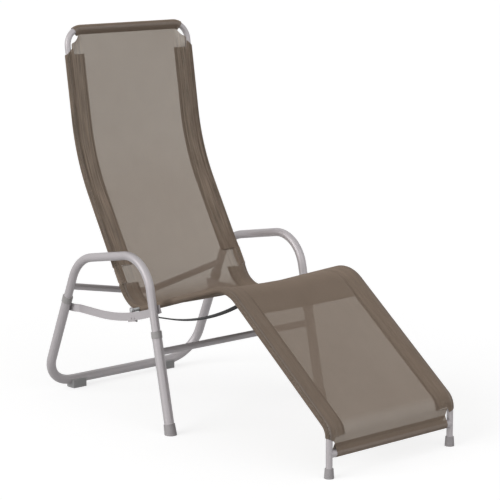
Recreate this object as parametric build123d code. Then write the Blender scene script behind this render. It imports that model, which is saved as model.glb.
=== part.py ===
import os
from math import acos, asin, cos, degrees, radians, sin, sqrt, tan

from build123d import *

# A tilting sling lounger. Two tube armrests on a floor stand carry a long seat
# frame on a pivot under the hips. The chair faces -Y, +X is the sitter's left,
# and the origin is on the floor under the middle of the whole chair.

# Seat frame seen from the side: foot leg, calf, thigh, lower back, upper back
seat_half_width = 252.0
foot_leg_height = 146.0
calf_length = 573.0
calf_slope = 37.4
thigh_length = 508.0
thigh_slope = 17.9
lower_back_length = 545.0
lower_back_rise = 59.7
upper_back_length = 428.0
upper_back_rise = 81.3
foot_bend_radius = 50.0
knee_bend_radius = 108.0
hip_bend_radius = 95.0
back_bend_radius = 670.0
head_bend_radius = 58.0
seat_tube_diameter = 20.0
tube_wall = 1.5
foot_cross_height = 71.5
foot_cross_diameter = 24.0
hip_joint_reach = 52.0
hip_joiner_length = 42.0
hip_joiner_diameter = 26.0

# Pivot: how far it is ahead of the middle of the hip bend, and its hardware
pivot_ahead = 6.0
pivot_bolt_diameter = 8.0
pivot_head_diameter = 13.0
pivot_head_height = 5.0
pivot_nut_width = 13.0
pivot_nut_height = 8.0
spacer_diameter = 13.0
running_clearance = 0.05

# Stand: half width to the armrest centre, and places measured from the pivot
side_gap = 68.0
arch_diameter = 28.0
leg_diameter = 32.0
front_foot_reach = 232.0
rear_foot_reach = 459.0
arch_front_reach = 113.0
arch_front_height = 559.0
arch_rear_reach = 252.0
arch_rear_height = 494.0
arch_front_radius = 117.0
arch_rear_radius = 142.0
floor_bar_height = 27.0
floor_bend_radius = 112.0
front_collar_below_pivot = 40.0
rear_collar_above_rail = 36.5
collar_length = 18.0
collar_overhang = 4.0
collar_wall = 1.4
socket_depth = 60.0
socket_clearance = 0.4
front_cross_below_pivot = 101.0
rear_cross_above_rail = 76.5
rear_cross_drop = 62.0
rear_cross_bend_radius = 260.0
stand_cross_diameter = 22.0

# Curved flat rails that carry the pivot, one inside each armrest
rail_height = 26.0
rail_thickness = 4.0
rail_drop = 39.5
rail_curve_start = 181.0
rail_curve_radius = 853.0
rail_inset = 9.0
rail_end_margin = 15.0
rail_joggle_reach = 26.0
rail_joggle_run = 20.0
rail_joggle_radius = 14.0

# Pivot bracket: a plate inside the rail, with a lip under it and a narrow ear above it
bracket_width = 40.0
bracket_thickness = 4.0
bracket_ear_width = 18.0
rivet_diameter = 5.0
rivet_head_diameter = 8.0
rivet_head_height = 2.0
rivet_spacing = 14.0
rivet_drop = 5.5

# Strap that ties the two brackets together under the sling
strap_width = 24.0
strap_thickness = 3.0
strap_forward = 8.0
strap_end_drop = 11.5
strap_middle_drop = 87.5
strap_flange_height = 24.0
strap_bend_radius = 5.0
strap_bow_radius = 560.0

# Feet
foot_cap_height = 29.0
foot_cap_diameter = 26.0
foot_cap_base_diameter = 30.0
foot_cap_floor = 8.0
leg_cap_height = 34.0
leg_cap_diameter = 36.0
leg_cap_base_diameter = 40.0
leg_cap_floor = 8.0
block_inner_x = 165.0
block_forward = 6.0
block_width = 56.0
block_depth = 42.0
block_height = 29.0
block_corner = 4.0
block_screw_diameter = 5.0
block_screw_head_diameter = 9.0
block_screw_head_height = 3.0
block_screw_recess = 4.0

# Rail screws
screw_diameter = 6.0
screw_head_diameter = 12.0
screw_head_height = 3.5

# Sling: a coated mesh cloth, doubled where it is sewn round the tubes
cloth_thickness = 1.0
cloth_clearance = 0.3
flap_width = 62.0
head_sleeve_inset = 30.0
foot_sleeve_inset = 22.0
head_sleeve_drop = 20.0
foot_sleeve_rise = 28.5
side_sleeve_foot_height = 121.0
flap_head_gap = 84.0
hip_notch_start = 20.0
hip_notch_length = 62.0
corner_cut_radius = 50.0
knee_band_length = 230.0

# Small values shared by all pieces
overrun = 5.0
touch_gap = 0.1

# Places worked out from the sizes above
seat_radius = seat_tube_diameter / 2
arch_radius = arch_diameter / 2
leg_radius = leg_diameter / 2
sleeve_radius = seat_radius + cloth_clearance + cloth_thickness
seam_half_width = seat_half_width - flap_width
foot_sleeve_half_width = seat_half_width - foot_sleeve_inset
stand_half_width = seat_half_width + side_gap
hip_turn = radians(lower_back_rise + thigh_slope)
hip_tangent = hip_bend_radius * tan(hip_turn / 2)
pivot_reach = (calf_length * cos(radians(calf_slope)) - pivot_ahead
               + (thigh_length - hip_tangent) * cos(radians(thigh_slope))
               + hip_bend_radius * sin(radians(thigh_slope)))
overall_depth = foot_cap_base_diameter / 2 + pivot_reach + rear_foot_reach + leg_radius
foot_y = foot_cap_base_diameter / 2 - overall_depth / 2
pivot_y = foot_y + pivot_reach
front_foot_y = pivot_y - front_foot_reach
floor_bar_y = pivot_y + rear_foot_reach


def seat_corner_points():
    """Corners of the seat frame's side line from foot to head, as (y, z)."""
    foot = (foot_y, foot_leg_height)
    knee = (foot[0] + calf_length * cos(radians(calf_slope)),
            foot[1] + calf_length * sin(radians(calf_slope)))
    hip = (knee[0] + thigh_length * cos(radians(thigh_slope)),
           knee[1] - thigh_length * sin(radians(thigh_slope)))
    back = (hip[0] + lower_back_length * cos(radians(lower_back_rise)),
            hip[1] + lower_back_length * sin(radians(lower_back_rise)))
    head = (back[0] + upper_back_length * cos(radians(upper_back_rise)),
            back[1] + upper_back_length * sin(radians(upper_back_rise)))
    return foot, knee, hip, back, head


seat_corners = seat_corner_points()
hip_centre_z = (seat_corners[2][1] + hip_tangent * sin(radians(thigh_slope))
                + hip_bend_radius * cos(radians(thigh_slope)))
pivot_z = hip_centre_z - sqrt(hip_bend_radius ** 2 - pivot_ahead ** 2)
rail_base_z = pivot_z - rail_drop
front_collar_height = pivot_z - front_collar_below_pivot
front_cross_height = pivot_z - front_cross_below_pivot
rear_collar_height = rail_base_z + rear_collar_above_rail
rear_cross_height = rail_base_z + rear_cross_above_rail


def in_side_plane(x, place):
    """A (y, z) place of the side view as a point at the given x."""
    return Vector(x, place[0], place[1])


def on_side(shape, side):
    """A left-hand shape as it is, or its mirror image for the right-hand side."""
    if side > 0:
        return shape
    return mirror(shape, about=Plane.YZ)


def seat_line(x):
    """The side tube's centre line at x, from inside the foot cap to the top tube."""
    places = [(foot_y, foot_cap_floor), *seat_corners]
    return FilletPolyline(
        *[in_side_plane(x, place) for place in places],
        radius=[foot_bend_radius, knee_bend_radius, hip_bend_radius, back_bend_radius])


def between(line, start, end):
    """The stretch of a line between two distances along it."""
    return line.trim(start / line.length, end / line.length)


def section_plane(line, start_x_direction=(1, 0, 0)):
    """A plane square to the start of a line, with its own x along the chair's width."""
    return Plane(origin=line @ 0, x_dir=start_x_direction, z_dir=line % 0)


def tube(line, diameter, wall=tube_wall):
    """A round tube along a line."""
    ring = Circle(diameter / 2) - Circle(diameter / 2 - wall)
    start = Plane(origin=line @ 0, z_dir=line % 0)
    return sweep(start * ring, path=line)


def rod(start, end, diameter):
    """A solid round bar from one point to another."""
    line = Line(start, end)
    return sweep(Plane(origin=line @ 0, z_dir=line % 0) * Circle(diameter / 2), path=line)


# Distances along the side tube's centre line, measured up from the foot cap
seat_side = Wire(seat_line(seat_half_width).edges())
head_distance = seat_side.length
back_turn = radians(upper_back_rise - lower_back_rise)
back_tangent = back_bend_radius * tan(back_turn / 2)
hip_end_distance = (head_distance - upper_back_length + 2 * back_tangent
                    - back_bend_radius * back_turn - lower_back_length + hip_tangent)
hip_start_distance = hip_end_distance - hip_bend_radius * hip_turn
pivot_bend = radians(thigh_slope) - asin(pivot_ahead / hip_bend_radius)
pivot_distance = hip_start_distance + hip_bend_radius * pivot_bend
hip_joint_distance = hip_end_distance + hip_joint_reach
knee_turn = radians(calf_slope + thigh_slope)
knee_tangent = knee_bend_radius * tan(knee_turn / 2)
knee_distance = (hip_start_distance - thigh_length + hip_tangent + knee_tangent
                 - knee_bend_radius * knee_turn / 2)
head_point = seat_side @ 1
head_direction = seat_side % 1


def head_bend(start_turn):
    """The left top bend, from a turn of its arc in degrees up to its end on the top tube."""
    side_end = head_point - head_direction * head_bend_radius

    def place(turn):
        return (side_end + head_direction * head_bend_radius * sin(radians(turn))
                - Vector(head_bend_radius * (1 - cos(radians(turn))), 0, 0))

    quarter = 90
    return ThreePointArc(place(start_turn), place((start_turn + quarter) / 2), place(quarter))


def head_line(start_turn):
    """The top tube's centre line, with the same stretch of the bend at each end."""
    left = head_bend(start_turn)
    top = Line(left @ 1, Vector(-(left @ 1).X, head_point.Y, head_point.Z))
    return Wire([left.edge(), top.edge(), *mirror(left, about=Plane.YZ).edges()])


def back_hoop():
    """The upper half of the seat frame: one tube up the left side, across and down the right."""
    rise = between(seat_side, hip_joint_distance, head_distance - head_bend_radius)
    bend = head_bend(0)
    top = Line(bend @ 1, Vector(0, head_point.Y, head_point.Z))
    left = tube(Wire([*rise.edges(), bend.edge(), top.edge()]), seat_tube_diameter)
    return left + mirror(left, about=Plane.YZ)


def seat_tube():
    """The left lower half of the seat frame: foot leg, calf, knee, thigh and part of the hip."""
    bent = tube(between(seat_side, 0, hip_joint_distance - touch_gap), seat_tube_diameter)
    bolt_hole = pivot_bolt_diameter + 2 * touch_gap
    return bent - across(seat_half_width, pivot_y, pivot_z, bolt_hole, 2 * seat_tube_diameter)


def hip_joiner():
    """The ring that joins the left seat tube to the back hoop, outside both of them."""
    wall = (hip_joiner_diameter - seat_tube_diameter) / 2 - touch_gap
    start = hip_joint_distance - hip_joiner_length / 2
    line = between(seat_side, start, start + hip_joiner_length)
    return tube(line, hip_joiner_diameter, wall)


def foot_cross_tube():
    """The cross tube between the foot legs, its ends shaped to the legs."""
    left = Vector(seat_half_width, foot_y, foot_cross_height)
    right = Vector(-seat_half_width, foot_y, foot_cross_height)
    whole = tube(Line(left, right), foot_cross_diameter)
    for side in (1, -1):
        leg = Pos(side * seat_half_width, foot_y, foot_cross_height) * Cylinder(
            seat_radius, foot_cross_diameter + 2 * overrun)
        whole = whole - leg
    return keep_largest(whole)


def keep_largest(shape):
    """The largest solid of a cut shape."""
    return max(shape.solids(), key=lambda solid: solid.volume)


def foot_cap():
    """The rubber cap under the left foot leg, flared to the floor."""
    outer = loft([Circle(foot_cap_base_diameter / 2),
                  Pos(0, 0, foot_cap_height) * Circle(foot_cap_diameter / 2)])
    bore = Pos(0, 0, foot_cap_floor) * Cylinder(
        seat_radius, foot_cap_height, align=(Align.CENTER, Align.CENTER, Align.MIN))
    return Pos(seat_half_width, foot_y, 0) * (outer - bore)


def sleeve_section(line, tube_radius, flap_width, toward):
    """A closed cloth loop round a tube that runs into two flat layers, as seen along the tube.

    toward is the direction of the flap across the tube.
    """
    inner_radius = tube_radius + cloth_clearance
    outer_radius = inner_radius + cloth_thickness
    plane = Plane(origin=line @ 0, x_dir=toward, z_dir=line % 0)

    def drop_shape(radius, tip_half, reach):
        angle = asin((radius - tip_half) / reach)
        touch_x = radius * sin(angle)
        touch_y = radius * cos(angle)
        outline = Polyline((touch_x, touch_y), (reach, tip_half), (reach, -tip_half),
                           (touch_x, -touch_y))
        back = ThreePointArc((touch_x, -touch_y), (-radius, 0), (touch_x, touch_y))
        return make_face([*outline.edges(), back.edge()])

    outer = drop_shape(outer_radius, cloth_thickness + touch_gap / 2, flap_width)
    inner = drop_shape(inner_radius, touch_gap / 2, flap_width - cloth_thickness)
    return plane * (outer - inner)


def side_sleeve(start, end):
    """The stretch of cloth sewn round the left side tube between two distances along it."""
    line = between(seat_side, start, end)
    section = sleeve_section(line, seat_radius, flap_width, (-1, 0, 0))
    loop = sweep(section, path=line)
    if start < pivot_distance < end:
        loop = loop - across(seat_half_width, pivot_y, pivot_z,
                             spacer_diameter + 2 * cloth_clearance, 2 * side_gap)
    return loop


def head_sleeve_line():
    """The part of the hoop inside the head sleeve, and the direction its cloth leaves in."""
    past_bend = head_bend_radius - head_sleeve_inset
    line = head_line(degrees(acos(past_bend / head_bend_radius)))
    return line, (line % 0).cross(-seat_cut_direction())


def head_sleeve():
    """The loop of cloth round the top tube, which follows the start of both bends."""
    line, inward = head_sleeve_line()
    return sweep(sleeve_section(line, seat_radius, head_sleeve_drop, inward), path=line)


def head_sleeve_room():
    """A thick band along the head sleeve, as deep as its cloth, to cut the panel back to it."""
    line, inward = head_sleeve_line()
    depth = 2 * (head_sleeve_drop + touch_gap)
    start = Plane(origin=line @ 0, x_dir=inward, z_dir=line % 0)
    return sweep(start * Rectangle(depth, seat_tube_diameter), path=line)


def foot_sleeve():
    """The loose loop of cloth round the cross tube between the foot legs."""
    start = Vector(-foot_sleeve_half_width, foot_y, foot_cross_height)
    line = Line(start, Vector(foot_sleeve_half_width, start.Y, start.Z))
    section = sleeve_section(line, foot_cross_diameter / 2, foot_sleeve_rise, (0, 0, 1))
    return sweep(section, path=line)


def panel_strip(start, end, half_width, layer=0):
    """A strip of cloth across the chair on the side tubes' centre line."""
    line = between(Wire(seat_line(0).edges()), start, end)
    shift = -layer * (cloth_thickness + touch_gap)
    section = section_plane(line) * Pos(0, shift) * Rectangle(2 * half_width, cloth_thickness)
    return sweep(section, path=line)


def hip_notch():
    """Where the side sleeves stop and start again above the hip bend."""
    start = hip_end_distance + hip_notch_start
    return start, start + hip_notch_length


def hip_wrap():
    """Cloth of the panel laid over the front of the left joiner, between the side sleeves."""
    start, end = hip_notch()
    line = between(seat_side, start + touch_gap, end - touch_gap)
    radius = hip_joiner_diameter / 2 + cloth_clearance
    ring = Circle(radius + cloth_thickness) - Circle(radius)
    front = Pos(0, -cloth_thickness / 2) * Rectangle(
        4 * radius, 2 * radius, align=(Align.CENTER, Align.MIN))
    return sweep(section_plane(line, (-1, 0, 0)) * (ring & front), path=line)


def sling_panel():
    """The single layer of cloth that the sitter lies on, from the foot loop to the head loop."""
    low = foot_cross_height + foot_sleeve_rise + touch_gap - foot_cap_floor
    high = head_distance - head_sleeve_drop / 2
    panel = panel_strip(low, high, seam_half_width)
    reach = seat_half_width - sleeve_radius - cloth_clearance
    head = panel_strip(head_distance - flap_head_gap + touch_gap, high, reach)
    reach = seat_half_width - hip_joiner_diameter / 2 - cloth_clearance
    side_end = side_sleeve_foot_height - foot_cap_floor - touch_gap
    foot = panel_strip(low, side_end, foot_sleeve_half_width)
    notch_start, notch_end = hip_notch()
    hips = panel_strip(notch_start + touch_gap, notch_end - touch_gap, reach)
    wrap = hip_wrap()
    panel = panel + head + foot + hips + wrap + mirror(wrap, about=Plane.YZ)
    panel = panel - head_sleeve_room()
    head_cut = Plane(
        origin=(0, head_point.Y, head_point.Z), x_dir=(1, 0, 0), z_dir=seat_cut_direction())
    for side in (1, -1):
        corner = head_cut * Pos(side * seat_half_width, 0, 0) * Cylinder(
            corner_cut_radius, seat_tube_diameter)
        panel = panel - corner
    return keep_largest(panel)


def seat_cut_direction():
    """The direction square to the cloth at the head, towards the sitter."""
    return Vector(0, -head_direction.Z, head_direction.Y)


def knee_band():
    """The second layer of cloth sewn under the panel at the knee."""
    start = knee_distance - knee_band_length / 2
    return panel_strip(start, start + knee_band_length, seam_half_width - touch_gap, layer=-1)


def front_leg_y(height):
    """Where the front leg's centre line is at a height."""
    lean = (front_foot_reach - arch_front_reach) / arch_front_height
    return front_foot_y + lean * height


def rear_leg_y(height):
    """Where the rear leg's centre line is at a height."""
    share = (height - floor_bar_height) / (arch_rear_height - floor_bar_height)
    return floor_bar_y + share * (arch_rear_reach - rear_foot_reach)


def armrest():
    """The left armrest tube, bent down at both ends into the tops of the legs."""
    x = stand_half_width
    front_low = front_collar_height - socket_depth
    rear_low = rear_collar_height - socket_depth
    line = FilletPolyline(
        Vector(x, front_leg_y(front_low), front_low),
        Vector(x, front_leg_y(arch_front_height), arch_front_height),
        Vector(x, rear_leg_y(arch_rear_height), arch_rear_height),
        Vector(x, rear_leg_y(rear_low), rear_low),
        radius=[arch_front_radius, arch_rear_radius])
    return tube(line, arch_diameter)


leg_wall = leg_radius - arch_radius - socket_clearance


def front_leg():
    """The left front lower leg, a straight tube that the armrest plugs into."""
    x = stand_half_width
    start = Vector(x, front_leg_y(leg_cap_floor), leg_cap_floor)
    end = Vector(x, front_leg_y(front_collar_height), front_collar_height)
    return tube(Line(start, end), leg_diameter, leg_wall)


def rear_frame_line():
    """The left half of the rear frame's centre line, down the leg and along the floor."""
    corner = Vector(stand_half_width, floor_bar_y, floor_bar_height)
    top = Vector(stand_half_width, rear_leg_y(rear_collar_height), rear_collar_height)
    middle = Vector(0, floor_bar_y, floor_bar_height)
    return FilletPolyline(top, corner, middle, radius=[floor_bend_radius])


def rear_frame():
    """Both rear lower legs and the bar along the floor, bent from one tube."""
    left = tube(rear_frame_line(), leg_diameter, leg_wall)
    return left + mirror(left, about=Plane.YZ)


def along_leg(leg_y, height):
    """A plane on the left leg at a height, its z up along the leg."""
    low = Vector(stand_half_width, leg_y(height), height)
    high = Vector(stand_half_width, leg_y(height + overrun), height + overrun)
    return Plane(origin=low, x_dir=(1, 0, 0), z_dir=(high - low))


def collar(leg_y, height):
    """The plastic ring that covers the step from leg to armrest."""
    outer = Pos(0, 0, -collar_length) * Cylinder(
        leg_radius + collar_wall, collar_length + collar_overhang,
        align=(Align.CENTER, Align.CENTER, Align.MIN))
    outer = fillet(outer.edges().filter_by(GeomType.CIRCLE), collar_wall / 2)
    leg_bore = Pos(0, 0, -collar_length - overrun) * Cylinder(
        leg_radius + touch_gap / 2, collar_length + overrun,
        align=(Align.CENTER, Align.CENTER, Align.MIN))
    arch_bore = Cylinder(arch_radius + touch_gap / 2, 2 * (collar_overhang + overrun))
    return along_leg(leg_y, height) * (outer - leg_bore - arch_bore)


def leg_cap():
    """The rubber cap under the left front leg, leaning with it and cut flat on the floor."""
    plane = along_leg(front_leg_y, 0)
    sunk = Pos(0, 0, -overrun)
    outer = loft([sunk * Circle(leg_cap_base_diameter / 2),
                  Pos(0, 0, leg_cap_height) * Circle(leg_cap_diameter / 2)])
    bore = along_leg(front_leg_y, leg_cap_floor) * Cylinder(
        leg_radius + touch_gap / 2, leg_cap_height + 2 * overrun,
        align=(Align.CENTER, Align.CENTER, Align.MIN))
    above_floor = Pos(stand_half_width, front_foot_y, 0) * Box(
        2 * leg_cap_base_diameter, 2 * leg_cap_base_diameter, 2 * leg_cap_height,
        align=(Align.CENTER, Align.CENTER, Align.MIN))
    return ((plane * outer) & above_floor) - bore


def straight_cross_tube():
    """The cross tube between the front legs, its ends shaped to them."""
    y = front_leg_y(front_cross_height)
    left = Vector(stand_half_width, y, front_cross_height)
    right = Vector(-stand_half_width, y, front_cross_height)
    whole = tube(Line(left, right), stand_cross_diameter)
    return keep_largest(without_legs(whole, front_leg_y, leg_radius))


def without_legs(shape, leg_y, radius):
    """A shape with the two leaning legs cut out of it."""
    bottom = floor_bar_height
    top = arch_rear_height
    for side in (1, -1):
        x = side * stand_half_width
        leg = rod(Vector(x, leg_y(bottom), bottom), Vector(x, leg_y(top), top), 2 * radius)
        shape = shape - leg
    return shape


def rear_cross_tube():
    """The cross tube between the rear legs, bent down in the middle to clear the sling."""
    y = rear_leg_y(rear_cross_height)
    middle = rear_cross_height - rear_cross_drop
    line = FilletPolyline(
        Vector(stand_half_width, y, rear_cross_height), Vector(0, y, middle),
        Vector(-stand_half_width, y, rear_cross_height), radius=[rear_cross_bend_radius])
    whole = tube(line, stand_cross_diameter)
    return keep_largest(without_legs(whole, rear_leg_y, arch_radius))


rail_x = stand_half_width - leg_radius - rail_inset - rail_thickness / 2
rail_curve_y = pivot_y + rail_curve_start


def rail_z(y):
    """Height of the rail's middle line at y."""
    ahead = max(rail_curve_y - y, 0)
    return rail_base_z + rail_curve_radius - sqrt(rail_curve_radius ** 2 - ahead ** 2)


def meeting_y(leg_y):
    """Where the rail's middle line crosses a leg's centre line."""
    y = leg_y(rail_base_z)
    for _ in range(20):
        y = leg_y(rail_z(y))
    return y


rail_front_y = meeting_y(front_leg_y)
rail_rear_y = meeting_y(rear_leg_y)


def rail_side_band():
    """The rail's outline seen from the side, as a slab much wider than the rail."""
    front = rail_front_y - rail_end_margin
    rear = rail_rear_y + rail_end_margin
    half_way = (front + rail_curve_y) / 2
    curve = ThreePointArc(
        Vector(rail_x, front, rail_z(front)), Vector(rail_x, half_way, rail_z(half_way)),
        Vector(rail_x, rail_curve_y, rail_base_z))
    level = Line(Vector(rail_x, rail_curve_y, rail_base_z), Vector(rail_x, rear, rail_base_z))
    line = Wire([curve.edge(), level.edge()])
    section = section_plane(line) * Rectangle(2 * side_gap, rail_height)
    return sweep(section, path=line)


def rail_plan_ribbon():
    """The rail seen from above, as a tall ribbon: a long run with a joggle at each end."""
    front_x = rail_tab_x(arch_radius)
    rear_x = rail_tab_x(leg_radius)
    front = rail_front_y + rail_joggle_reach
    rear = rail_rear_y - rail_joggle_reach
    places = [(front_x, rail_front_y - side_gap), (front_x, front),
              (rail_x, front + rail_joggle_run), (rail_x, rear - rail_joggle_run),
              (rear_x, rear), (rear_x, rail_rear_y + side_gap)]
    line = FilletPolyline(*[Vector(x, y, rail_base_z) for x, y in places],
                          radius=rail_joggle_radius)
    tall = 4 * rail_drop
    section = section_plane(line) * Rectangle(rail_thickness, 2 * tall)
    return sweep(section, path=line)


def rail_tab_x(tube_radius):
    """Middle of the rail's thickness where its end lies against a tube of the stand."""
    return stand_half_width - tube_radius - touch_gap - rail_thickness / 2


def rail():
    """The left flat rail on edge: level at the rear, curving up to the front leg."""
    bar = keep_largest(rail_side_band() & rail_plan_ribbon())
    for y, tube_radius in rail_ends():
        bar = bar - across(rail_tab_x(tube_radius), y, rail_z(y), screw_diameter + 2 * touch_gap)
    for y, z in rivet_places():
        bar = bar - across(rail_x, y, z, rivet_diameter + 2 * touch_gap)
    return bar


def rail_ends():
    """Where the rail's ends cross the stand's tubes, with the radius of each tube."""
    return ((rail_front_y, arch_radius), (rail_rear_y, leg_radius))


def across(x, y, z, diameter, length=4 * rail_thickness):
    """A round bar along the chair's width, centred at a point."""
    return Pos(x, y, z) * Rot(0, 90, 0) * Cylinder(diameter / 2, length)


def rivet_places():
    """Where the bracket's two rivets go through the rail, as (y, z)."""
    middle = pivot_y - strap_forward
    places = (middle - rivet_spacing / 2, middle + rivet_spacing / 2)
    return [(y, rail_z(y) - rivet_drop) for y in places]


def rail_screws():
    """Four screws that hold the rails to the legs, their heads on the inside."""
    screws = []
    for y, tube_radius in rail_ends():
        inside = rail_tab_x(tube_radius) - rail_thickness / 2
        head = Pos(inside - screw_head_height / 2, y, rail_z(y)) * Rot(0, 90, 0) * Cylinder(
            screw_head_diameter / 2, screw_head_height)
        head = fillet(head.edges().group_by(Axis.X)[0], screw_head_height / 3)
        shank = Pos(inside, y, rail_z(y)) * Rot(0, 90, 0) * Cylinder(
            screw_diameter / 2, rail_thickness + touch_gap,
            align=(Align.CENTER, Align.CENTER, Align.MIN))
        screws.append(head + shank)
    return [solid for screw in screws for solid in both(screw)]


bracket_x = rail_x - rail_thickness / 2 - bracket_thickness / 2


def rail_slope(y):
    """The rail's slope at y, in degrees, rising towards the front."""
    return degrees(asin(max(rail_curve_y - y, 0) / rail_curve_radius))


def pivot_bracket():
    """The left bracket: a plate riveted inside the rail, with the pivot hole above the rail."""
    plane = Plane(origin=(bracket_x, pivot_y, rail_z(pivot_y)), x_dir=(1, 0, 0),
                  z_dir=(0, sin(radians(rail_slope(pivot_y))), cos(radians(rail_slope(pivot_y)))))
    bottom = -rail_height / 2 - touch_gap - bracket_thickness
    top = pivot_z - rail_z(pivot_y) + bracket_ear_width / 2
    ear = Pos(0, 0, bottom) * Box(
        bracket_thickness, bracket_ear_width, top - bottom,
        align=(Align.CENTER, Align.CENTER, Align.MIN))
    ear = fillet(ear.edges().filter_by(Axis.X).group_by(Axis.Z)[-1],
                 bracket_ear_width / 2 - touch_gap)
    plate = Pos(0, 0, bottom) * Box(
        bracket_thickness, bracket_width, rail_height / 2 - bottom,
        align=(Align.CENTER, Align.CENTER, Align.MIN))
    lip = Pos(-bracket_thickness / 2, 0, bottom) * Box(
        rail_thickness + bracket_thickness, bracket_width, bracket_thickness,
        align=(Align.MIN, Align.CENTER, Align.MIN))
    body = plane * (ear + plate + lip)
    body = body - across(bracket_x, pivot_y, pivot_z, pivot_bolt_diameter + 2 * running_clearance)
    for y, z in rivet_places():
        body = body - across(bracket_x, y, z, rivet_diameter + 2 * touch_gap)
    return body


def bracket_rivets():
    """Two rivets on each side through rail, bracket and strap end."""
    grip = rail_thickness + bracket_thickness + strap_thickness
    outer = rail_x + rail_thickness / 2
    rivets = []
    for y, z in rivet_places():
        shank = Pos(outer, y, z) * Rot(0, -90, 0) * Cylinder(
            rivet_diameter / 2, grip, align=(Align.CENTER, Align.CENTER, Align.MIN))
        outer_head = Pos(outer, y, z) * Rot(0, 90, 0) * Cylinder(
            rivet_head_diameter / 2, rivet_head_height,
            align=(Align.CENTER, Align.CENTER, Align.MIN))
        inner_head = Pos(outer - grip, y, z) * Rot(0, -90, 0) * Cylinder(
            rivet_head_diameter / 2, rivet_head_height,
            align=(Align.CENTER, Align.CENTER, Align.MIN))
        rivets.append(shank + outer_head + inner_head)
    return [solid for rivet in rivets for solid in both(rivet)]


def tie_strap():
    """The flat strap between the brackets, bowed down under the sling, with turned-down ends."""
    end_x = bracket_x - bracket_thickness / 2 - strap_thickness / 2
    end_z = pivot_z - strap_end_drop
    points = [(end_x, end_z - strap_flange_height), (end_x, end_z),
              (0, pivot_z - strap_middle_drop),
              (-end_x, end_z), (-end_x, end_z - strap_flange_height)]
    line = FilletPolyline(*[Vector(x, pivot_y - strap_forward, z) for x, z in points],
                          radius=[strap_bend_radius, strap_bow_radius, strap_bend_radius])
    section = Plane(origin=line @ 0, x_dir=(0, 1, 0), z_dir=line % 0) * Rectangle(
        strap_width, strap_thickness)
    strap = sweep(section, path=line)
    for y, z in rivet_places():
        for side in (1, -1):
            strap = strap - across(side * end_x, y, z, rivet_diameter + 2 * touch_gap)
    return strap


def floor_block():
    """The left plastic block under the floor bar, cupped round its lower half."""
    x = block_inner_x + block_width / 2
    block = Pos(x, floor_bar_y - block_forward, 0) * Box(
        block_width, block_depth, block_height, align=(Align.CENTER, Align.CENTER, Align.MIN))
    block = fillet(block.edges().filter_by(Axis.Z), block_corner)
    line = rear_frame_line()
    bar = sweep(Plane(origin=line @ 0, z_dir=line % 0) * Circle(leg_radius + touch_gap), path=line)
    screw = Pos(x, floor_bar_y, 0) * Cylinder(
        block_screw_diameter / 2 + touch_gap, 2 * floor_bar_height)
    recess = Pos(x, floor_bar_y, 0) * Cylinder(
        block_screw_head_diameter / 2 + touch_gap, 2 * block_screw_recess)
    return block - bar - screw - recess


def floor_block_screws():
    """One screw up through each floor block into the bar, its head in a recess."""
    x = block_inner_x + block_width / 2
    head_z = block_screw_recess - block_screw_head_height
    top = floor_bar_height - leg_radius - touch_gap
    head = Pos(x, floor_bar_y, head_z) * Cylinder(
        block_screw_head_diameter / 2, block_screw_head_height,
        align=(Align.CENTER, Align.CENTER, Align.MIN))
    shank = Pos(x, floor_bar_y, head_z) * Cylinder(
        block_screw_diameter / 2, top - head_z, align=(Align.CENTER, Align.CENTER, Align.MIN))
    return both(head + shank)


seat_outer_x = seat_half_width + seat_radius
seat_inner_x = seat_half_width - seat_radius
bracket_inner_x = bracket_x - bracket_thickness / 2
bracket_outer_x = bracket_x + bracket_thickness / 2


def pivot_bolt():
    """The left pivot bolt, through bracket, spacer and seat tube."""
    head_x = bracket_outer_x + touch_gap
    end_x = seat_inner_x - pivot_nut_height
    head = Pos(head_x, pivot_y, pivot_z) * Rot(0, 90, 0) * Cylinder(
        pivot_head_diameter / 2, pivot_head_height,
        align=(Align.CENTER, Align.CENTER, Align.MIN))
    head = fillet(head.edges().group_by(Axis.X)[-1], pivot_head_height / 3)
    shank = Pos(head_x, pivot_y, pivot_z) * Rot(0, -90, 0) * Cylinder(
        pivot_bolt_diameter / 2, head_x - end_x, align=(Align.CENTER, Align.CENTER, Align.MIN))
    return head + shank


def pivot_spacer():
    """The left spacer on the pivot bolt, between the bracket and the seat tube."""
    start = seat_half_width
    end = bracket_inner_x - touch_gap
    body = Pos(start, pivot_y, pivot_z) * Rot(0, 90, 0) * Cylinder(
        spacer_diameter / 2, end - start, align=(Align.CENTER, Align.CENTER, Align.MIN))
    bore = across(start, pivot_y, pivot_z, pivot_bolt_diameter + 2 * touch_gap, 2 * side_gap)
    near_pivot = tube_near_pivot(seat_tube_diameter)
    return keep_largest(body - bore - near_pivot)


def tube_near_pivot(diameter):
    """The solid of the left side tube around the pivot."""
    line = between(seat_side, pivot_distance - 2 * spacer_diameter,
                   pivot_distance + 2 * spacer_diameter)
    return sweep(Plane(origin=line @ 0, z_dir=line % 0) * Circle(diameter / 2), path=line)


def pivot_nut():
    """The left nut on the inner side of the seat tube."""
    nut = Pos(seat_inner_x - pivot_nut_height, pivot_y, pivot_z) * Rot(0, 90, 0) * extrude(
        RegularPolygon(pivot_nut_width / 2, 6, major_radius=False), pivot_nut_height)
    bolt = across(seat_inner_x, pivot_y, pivot_z, pivot_bolt_diameter, 4 * pivot_nut_height)
    return nut - bolt


def write(name, shape):
    """Write one sub-part, which may be a list of separate solids."""
    if isinstance(shape, list):
        shape = Compound(children=[item.solid() for item in shape])
    export_step(shape, f"parts/{name}.step")


def write_pair(name, shape):
    """Write a left-hand piece and its right-hand mirror image."""
    for side, prefix in ((1, "left"), (-1, "right")):
        write(f"{prefix}_{name}", on_side(shape, side))


def both(shape):
    """A left-hand piece and its mirror image, as separate solids of one node."""
    return [shape, mirror(shape, about=Plane.YZ)]


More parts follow.
